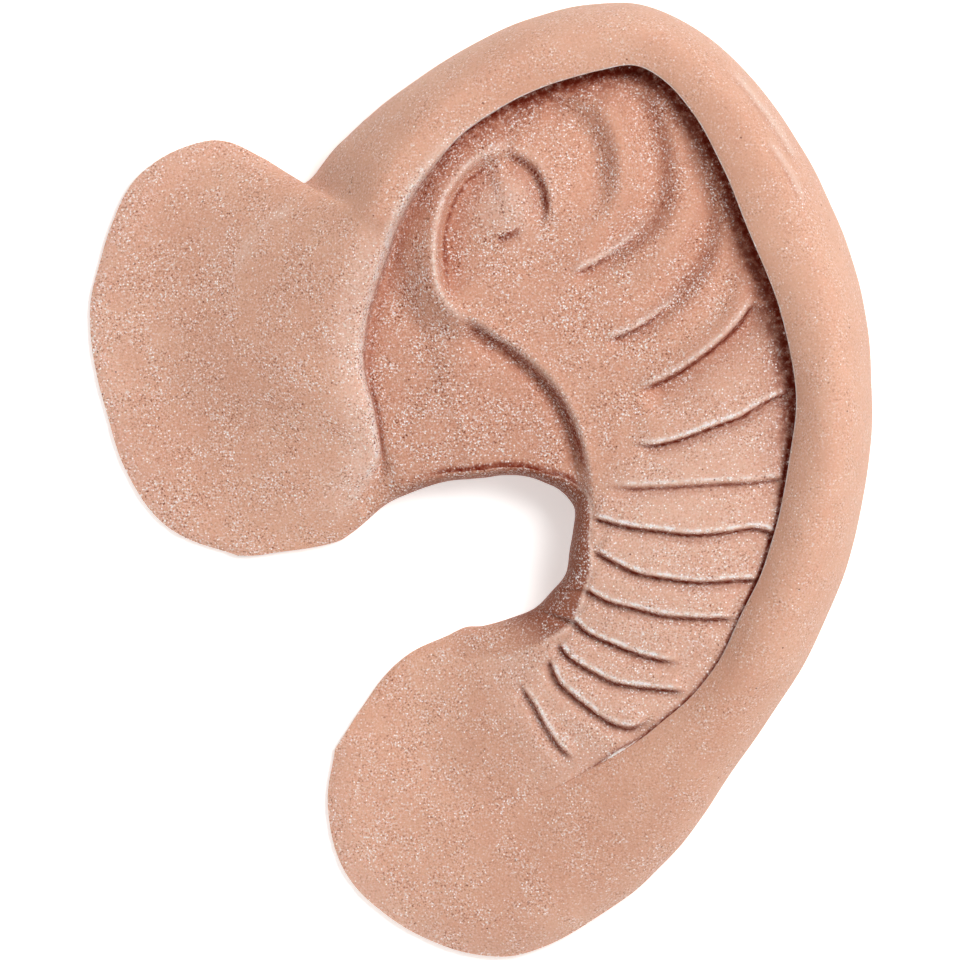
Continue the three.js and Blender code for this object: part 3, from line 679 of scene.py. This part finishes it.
def rimStrips(form, wallHeight):  # the rim and flanges, then their outer edge down to the glued side
    across = 0.5 - 0.5 * np.cos(np.pi * np.linspace(0, 1, columnCounts["rim"])[None, :])
    edgeRound = np.minimum(ear["edgeRound"], ear["edgeRoundMost"] * form.edge)
    fromEdge = (1 - across) * form.rim
    inCorner = np.maximum(edgeRound - fromEdge, 0)
    corner = edgeRound - np.sqrt(np.maximum(edgeRound**2 - inCorner**2, 0))
    lipRound = ear["lipRound"] * smoothStep(wallHeight, 0.3, 1.2)
    lipRound = lipRound * bell(across * form.rim, ear["lipRoundWidth"])
    top = form.rimHeight(across) - corner * (1 - form.roll) - lipRound
    # a painted highlight near the outline
    pale = np.exp(-fromEdge / marks["outlinePale"]["width"])
    turn = np.radians(np.linspace(0, 90, columnCounts["edge"]))[None, 1:]
    edgeTop = form.edge - edgeRound * (1 - form.roll)
    edgeOut = form.full - form.tuck * (1 - np.cos(turn))
    return [
        strip(form.recess + across * form.rim, top, rimEdge=pale),
        strip(edgeOut, edgeTop * (1 - np.sin(turn)), rimEdge=1.0),
    ]


def hollowStrips(form):  # up one side of the hollow, along its ceiling and down the other
    first, last = ear["hollowReach"]
    ringIn = np.maximum(form.full - form.tuck - ear["glueBand"], last * form.full)
    ringStart = np.minimum(form.lean + ear["canalWall"], first * form.full)
    rise = np.linspace(0, 1, columnCounts["hollowSide"])[None, :-1]
    along = lerp(ringStart, ringIn, np.linspace(1, 0, columnCounts["hollow"])[None, :])
    return [
        strip(ringIn + 0.0 * rise, form.ceiling(ringIn) * rise, sunk=0.3),
        strip(along, form.ceiling(along), sunk=0.6),
        strip(ringStart + 0.0 * rise, form.ceiling(ringStart) * (1 - rise - rise[0, 1]), sunk=0.3),
    ]


def earSurface():
    at = spreadSections(0, len(sectionRows["lipX"]) - 1, ear["sections"])[:, None]
    form = EarForm(at)
    shares = np.linspace(0, 1, columnCounts["front"])[None, :]
    bulge = form.front(shares[:, :1])[4] * fromTo(at, 17, 18.5, 24.5, 26)
    form.lean = np.clip(form.lean - ear["ribBulge"] * bulge, 0.5 * form.lean, 1.4 * form.lean)
    front = form.front(shares)
    wallHeight = form.lipTop - front[0][:, -1:]
    shown = form.openness * (1 - smoothStep(at, 25, 26.5))
    canal = canalStrip(form, front[0][:, :1], form.openness * bulge)
    recess, recessShade = frontStrip(form, shares, front, wallHeight, shown)
    wall = wallStrip(form, front[0][:, -1:], wallHeight, shown, recessShade)
    rim, edge = rimStrips(form, wallHeight)
    strips = [canal, recess, wall, rim, edge] + hollowStrips(form)
    values = {name: np.concatenate([made[name] for made in strips], 1) for name in stripValues}
    widths = [made["height"].shape[1] for made in strips]
    rimSlice = slice(sum(widths[:3]), sum(widths[:4]))
    soften(values["distance"], values["height"], at[:, 0], slice(widths[0], rimSlice.stop))
    spot = form.spotAt(values["distance"])
    relief, dark, rimPaleLines, _ = foldRelief(rimFolds, spot[:, rimSlice, 0], spot[:, rimSlice, 1])
    values["height"][:, rimSlice] += relief
    values["crease"][:, rimSlice] = dark
    values["worn"][:, rimSlice] = rimPaleLines
    points = np.concatenate([spot + (middleX, middleY), values["height"][..., None]], 2)
    return points, skinMasks(form, values, wallHeight, rimSlice.stop)


def skinMasks(form, values, wallHeight, rimStop):  # what the material reads from the mesh
    at = form.at
    fromLip = values["distance"] - form.recess
    # a pale line along the lip, and painted highlights along the crest on the temple side
    lipLine = markAt("lipLine", at, fromLip) * form.openness * smoothStep(wallHeight, 0.3, 1.2)
    lipLine[:, rimStop:] = 0
    crestBand = markAt("crestBand", at, fromLip)
    broadBand = markAt("broadBand", at, fromLip) * (fromLip > 0)
    worn = np.maximum(values["worn"], np.maximum(crestBand, broadBand))
    grain = lerp(valueAt(grainRows, "grain", at), recessGrain, np.maximum(values["sunk"], values["inside"]))
    grain = grain + marks["crestBand"]["grain"] / marks["crestBand"]["strength"] * crestBand
    masks = {name: values[name] for name in ("sunk", "crease", "rimEdge", "canal")}
    return {**masks, "worn": np.maximum(worn, lipLine), "grain": grain * (1 - calmGrain * values["calm"])}


def soften(distance, height, at, front):  # rounds the lip where the rim runs out into the flanges
    for i, reach in enumerate(valueAt(softening, "reach", at)):
        if reach < softeningStep:
            continue
        along, level = distance[i, front], height[i, front]
        if np.any(np.diff(along) <= 0):
            along = np.maximum.accumulate(along + 1e-6 * np.arange(len(along)))
        even = np.arange(along[0], along[-1], softeningStep)
        values = np.interp(even, along, level)
        spread = int(3 * reach / softeningStep)
        kernel = np.exp(-0.5 * (np.arange(-spread, spread + 1) * softeningStep / reach) ** 2)
        before, after = np.full(spread, values[0]), np.full(spread, values[-1])
        if len(values) > spread:
            before = 2 * values[0] - values[spread:0:-1]
        if len(values) > spread + 1:
            after = 2 * values[-1] - values[-2:-spread - 2:-1]
        smooth = np.convolve(np.concatenate((before, values, after)), kernel / kernel.sum(), "valid")
        height[i, front] = np.interp(along, even, smooth[:len(even)])


def roughen(points):  # stray lines and low lumps of a hand-cast skin
    noise.seed_set(ear["wanderSeed"])  # without it the wander differs in every run
    coarse, fine = ear["lumpSizes"]
    flatPoints = points.reshape(-1, 3)
    for i, (x, y, z) in enumerate(flatPoints):
        lift = smoothStep(z, 0.3, 3.0)  # the glued side stays flat
        wander = noise.noise_vector(Vector((x, y, 3.1)) / ear["wanderSize"])
        flatPoints[i, 0] += ear["wander"] * wander[0]
        flatPoints[i, 1] += ear["wander"] * wander[1]
        lump = noise.noise(Vector((x, y, z)) / coarse) + 0.5 * noise.noise(Vector((y, x, z)) / fine)
        flatPoints[i, 2] += lift * ear["lumps"] * lump
    return flatPoints.reshape(points.shape)


def slopeOf(points):  # how far the skin faces down the way to the left
    normal = np.cross(np.gradient(points, axis=1), np.gradient(points, axis=0))
    normal /= np.maximum(np.linalg.norm(normal, axis=2, keepdims=True), 1e-9)
    normal *= np.sign(normal[..., 2:])
    facing = slopeLight[0] * normal[..., 0] + slopeLight[1] * normal[..., 1]
    return np.clip(facing, 0, slopeGrain["most"])


def earMesh():
    points, masks = earSurface()
    points = roughen(points)
    # more grain on slopes facing away from the key lamp: partly painted glints
    slope = slopeOf(points) * masks["sunk"]
    masks["grain"] = masks["grain"] * (slopeGrain["flat"] + slopeGrain["gain"] * slope)
    rows, columns = points.shape[:2]
    index = np.arange(rows * columns).reshape(rows, columns)
    nextColumn = np.roll(index, -1, axis=1)
    quads = np.stack([index[:-1], index[1:], nextColumn[1:], nextColumn[:-1]], 2).reshape(-1, 4)
    ends = [index[0][::-1].tolist(), index[-1].tolist()]
    mesh = bpy.data.meshes.new("foamEar")
    mesh.from_pydata((points.reshape(-1, 3) * mm).tolist(), [], quads.tolist() + ends)
    for name, values in masks.items():
        layer = mesh.attributes.new(name, "FLOAT", "POINT")
        layer.data.foreach_set("value", values.reshape(-1).astype(np.float32))
    mesh.update()
    mesh.shade_smooth()
    for face in mesh.polygons[-2:]:  # the thin edges where both flanges end
        face.use_smooth = False
    return mesh


# the foam's finish: colours, then strengths, with sizes and spacings in mm
skin = {
    "peach": colour(226, 176, 151),
    "blushAndShade": colour(211, 155, 130),
    # painted shade colours, for creases and hollows and for the canal wall
    "deepShade": colour(160, 82, 55),
    "wallShade": colour(128, 62, 40),
    # pale colours, also used for painted highlights
    "pale": colour(243, 222, 210),
    "spark": colour(244, 236, 234),
    # painted shade in the deepest creases
    "creviceShade": colour(108, 24, 8),
    "pore": colour(118, 56, 38),
    "roughness": 0.78,
    "broadSize": 16,
    "broadBlush": 0.4,
    "blotchSize": 3.2,
    "blotchBlush": 0.25,
    # painted shade: how much the sunk recess, the canal wall and the creases are darkened
    "sunkShade": 0.55,
    "canalShade": 0.8,
    "creaseDeep": 0.85,
    # painted highlights: paler near the outline and along the pale lines
    "edgePale": 0.15,
    "wornPale": 0.7,
    "grainSize": 0.24,
    "grainLight": 6.5,
    "grainDark": 5.0,
    "fineSize": 0.6,
    "sparkSpacing": 0.36,
    "sparkShare": 5.5,
    # painted glints: the white specks glow a little
    "sparkGlow": 0.2,
    "patchSize": 3.5,  # rougher patches
    "pinholeSpacing": 1.9,
    "crinkleSize": 1.5,
    "crinkle": 2.4,
    "bump": 0.13,
}


def foamSkin():
    shader = Shader("foamLatexSkin")
    sunk, crease, worn, rimEdge, canal, strength = [
        shader.mask(name) for name in ("sunk", "crease", "worn", "rimEdge", "canal", "grain")]
    broad = shader.noise(skin["broadSize"], 3).between(0.35, 0.65)
    blotch = shader.noise(skin["blotchSize"], 3, 0.6, shift=0.3).between(0.38, 0.64)
    grain = shader.noise(skin["grainSize"], 1, 0.6)
    fine = shader.noise(skin["fineSize"], 2, 0.6, shift=0.7)

    # the skin's own colour with random blush, then painted shade: redder where it is sunk and on the canal
    # wall
    base = shader.mix(skin["broadBlush"] * broad, skin["peach"], skin["blushAndShade"])
    base = shader.mix(skin["blotchBlush"] * blotch, base, skin["blushAndShade"])
    base = shader.mix(skin["sunkShade"] * sunk, base, skin["blushAndShade"])
    base = shader.mix(skin["canalShade"] * canal, base, skin["wallShade"])

    # uneven painted shade in creases and hollows, and uneven pale lines, mostly painted highlights
    crease = crease * (0.7 + 0.4 * shader.noise(0.8, 3, 0.7, shift=4.2).between(0.3, 0.65))
    base = shader.mix((skin["creaseDeep"] * crease).clamped(), base, skin["deepShade"])
    base = shader.mix((1.6 * (crease - 0.5)).clamped(), base, skin["creviceShade"])
    clear = 1 - (2.2 * (crease - 0.5)).clamped()  # the deepest painted shade stays dark
    worn = worn * (0.74 + 0.38 * shader.noise(0.9, 2, 0.6, shift=5.6).between(0.35, 0.6))
    # paler near the outline and along the pale lines, whitest on the strongest: mostly painted highlights
    pale = (skin["edgePale"] * rimEdge + skin["wornPale"] * worn).clamped() * clear
    base = shader.mix(pale, base, skin["pale"])
    base = shader.mix((2.8 * (worn - 0.68)).clamped(), base, skin["spark"])

    # grain of light and dark, denser in patches
    patches = shader.noise(skin["patchSize"], 2, 0.6, shift=2.1).between(0.35, 0.65)
    strength = strength * (0.45 + 0.8 * patches)
    light = (strength * skin["grainLight"] * (grain - 0.55)).clamped() * clear
    dark = (strength * skin["grainDark"] * (0.44 - grain)).clamped()
    base = shader.mix(light, base, skin["spark"])
    base = shader.mix(dark, base, skin["pore"])

    # crisp white specks on some of the spots, and a few pinholes
    speck = 1 - shader.cells(skin["sparkSpacing"]).between(0.16, 0.34)
    chosen = shader.cells(skin["sparkSpacing"], output="Color")
    # more white specks along the pale lines, as painted highlights
    density = (strength - 0.25 * canal + 1.4 * worn) * clear
    spark = speck * (skin["sparkShare"] * density * (chosen - 0.5)).clamped()
    base = shader.mix(0.95 * spark, base, skin["spark"])
    keep = shader.noise(2.3, 0, shift=1.3).between(0.5, 0.56)
    pinhole = (1 - shader.cells(skin["pinholeSpacing"]).between(0.035, 0.075)) * keep
    base = shader.mix(0.8 * pinhole, base, skin["pore"])

    crinkle = rimEdge * shader.noise(skin["crinkleSize"], 3, 0.65, shift=6.4)
    height = 0.6 * fine + strength * grain + skin["crinkle"] * crinkle - 1.2 * pinhole
    bump = {"Strength": 0.6, "Distance": skin["bump"] * mm, "Height": height}
    # painted glints: the white specks glow a little
    glint = shader.mix(spark, (0.0, 0.0, 0.0, 1.0), skin["spark"])
    return shader.finish({
        "Base Color": base,
        "Roughness": skin["roughness"] + 0.12 * fine - 0.06 * broad,
        "Normal": shader.node("ShaderNodeBump", {}, bump),
        "Emission Color": glint,
        "Emission Strength": skin["sparkGlow"],
        "Subsurface Weight": 0.2,
        "Subsurface Radius": (1.0, 0.4, 0.25),
        "Subsurface Scale": 0.0016,
        "Specular IOR Level": 0.05,
    })


def buildEar():
    piece = bpy.data.objects.new("foamEar", earMesh())
    bpy.context.scene.collection.objects.link(piece)
    piece.data.materials.append(foamSkin())
    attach(piece, "root")
    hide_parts("ear_shell")
    print("ear:", len(piece.data.vertices), "points,", len(piece.data.polygons), "faces")


# floor, lights and camera, with lengths in metres
studio = {
    "floor": colour(250, 249, 248),
    "floorPatch": colour(235, 234, 232),
    "floorGlow": 0.45,
    "floorHalf": 1.5,
    "floorDrop": 0.0002,  # below the glued side
    "world": 0.27,
    "lampDistance": 0.9,
    "frameWidth": 0.1108,  # width that the view takes in at mid height
    "focusHeight": 0.011,
    "cameraHeight": 3.2,
    "sensor": 36,  # mm
}

# watts, degrees from the right towards the top, degrees above the floor, and size
lamps = {
    "key": (5.8, 37, 63, 0.3),
    "fill": (0.7, 150, 55, 0.6),
    "side": (1.1, -78, 40, 0.6),
}


def areaLight(name, power, bearing, elevation, size):
    lamp = bpy.data.lights.new(name, "AREA")
    lamp.energy = power
    lamp.size = size
    light = bpy.data.objects.new(name, lamp)
    bearing, elevation = math.radians(bearing), math.radians(elevation)
    flatPart = math.cos(elevation)
    toward = Vector((flatPart * math.cos(bearing), flatPart * math.sin(bearing), math.sin(elevation)))
    light.location = toward * studio["lampDistance"]
    light.rotation_euler = toward.to_track_quat("Z", "Y").to_euler()
    bpy.context.scene.collection.objects.link(light)


def buildFloor():
    half = studio["floorHalf"]
    corners = [(-half, -half, 0), (half, -half, 0), (half, half, 0), (-half, half, 0)]
    mesh = bpy.data.meshes.new("floor")
    mesh.from_pydata(corners, [], [(0, 1, 2, 3)])
    floor = bpy.data.objects.new("floor", mesh)
    floor.location.z = -studio["floorDrop"]
    bpy.context.scene.collection.objects.link(floor)
    shader = Shader("paleFloor")
    tone = shader.mix(0.03 * shader.noise(60, 2), studio["floor"], studio["floorPatch"])
    floor.data.materials.append(shader.finish({
        "Base Color": tone,
        "Roughness": 0.9,
        "Emission Color": tone,
        "Emission Strength": studio["floorGlow"],
    }))


def buildStudio():
    scene = bpy.context.scene
    buildFloor()
    world = bpy.data.worlds.new("softRoom")
    scene.world = world
    world.use_nodes = True
    background = world.node_tree.nodes["Background"]
    background.inputs["Color"].default_value = (1.0, 0.985, 0.97, 1.0)
    background.inputs["Strength"].default_value = studio["world"]
    for name, values in lamps.items():
        areaLight(name, *values)
    lens = bpy.data.cameras.new("camera")
    lens.sensor_width = studio["sensor"]
    distance = studio["cameraHeight"] - studio["focusHeight"]
    lens.lens = studio["sensor"] * distance / studio["frameWidth"]
    lens.clip_start, lens.clip_end = 0.05, 10
    camera = bpy.data.objects.new("camera", lens)
    camera.location = (0, 0, studio["cameraHeight"])
    scene.collection.objects.link(camera)
    scene.camera = camera
    scene.view_settings.view_transform = "Standard"
    print("studio ready")


buildEar()
buildStudio()
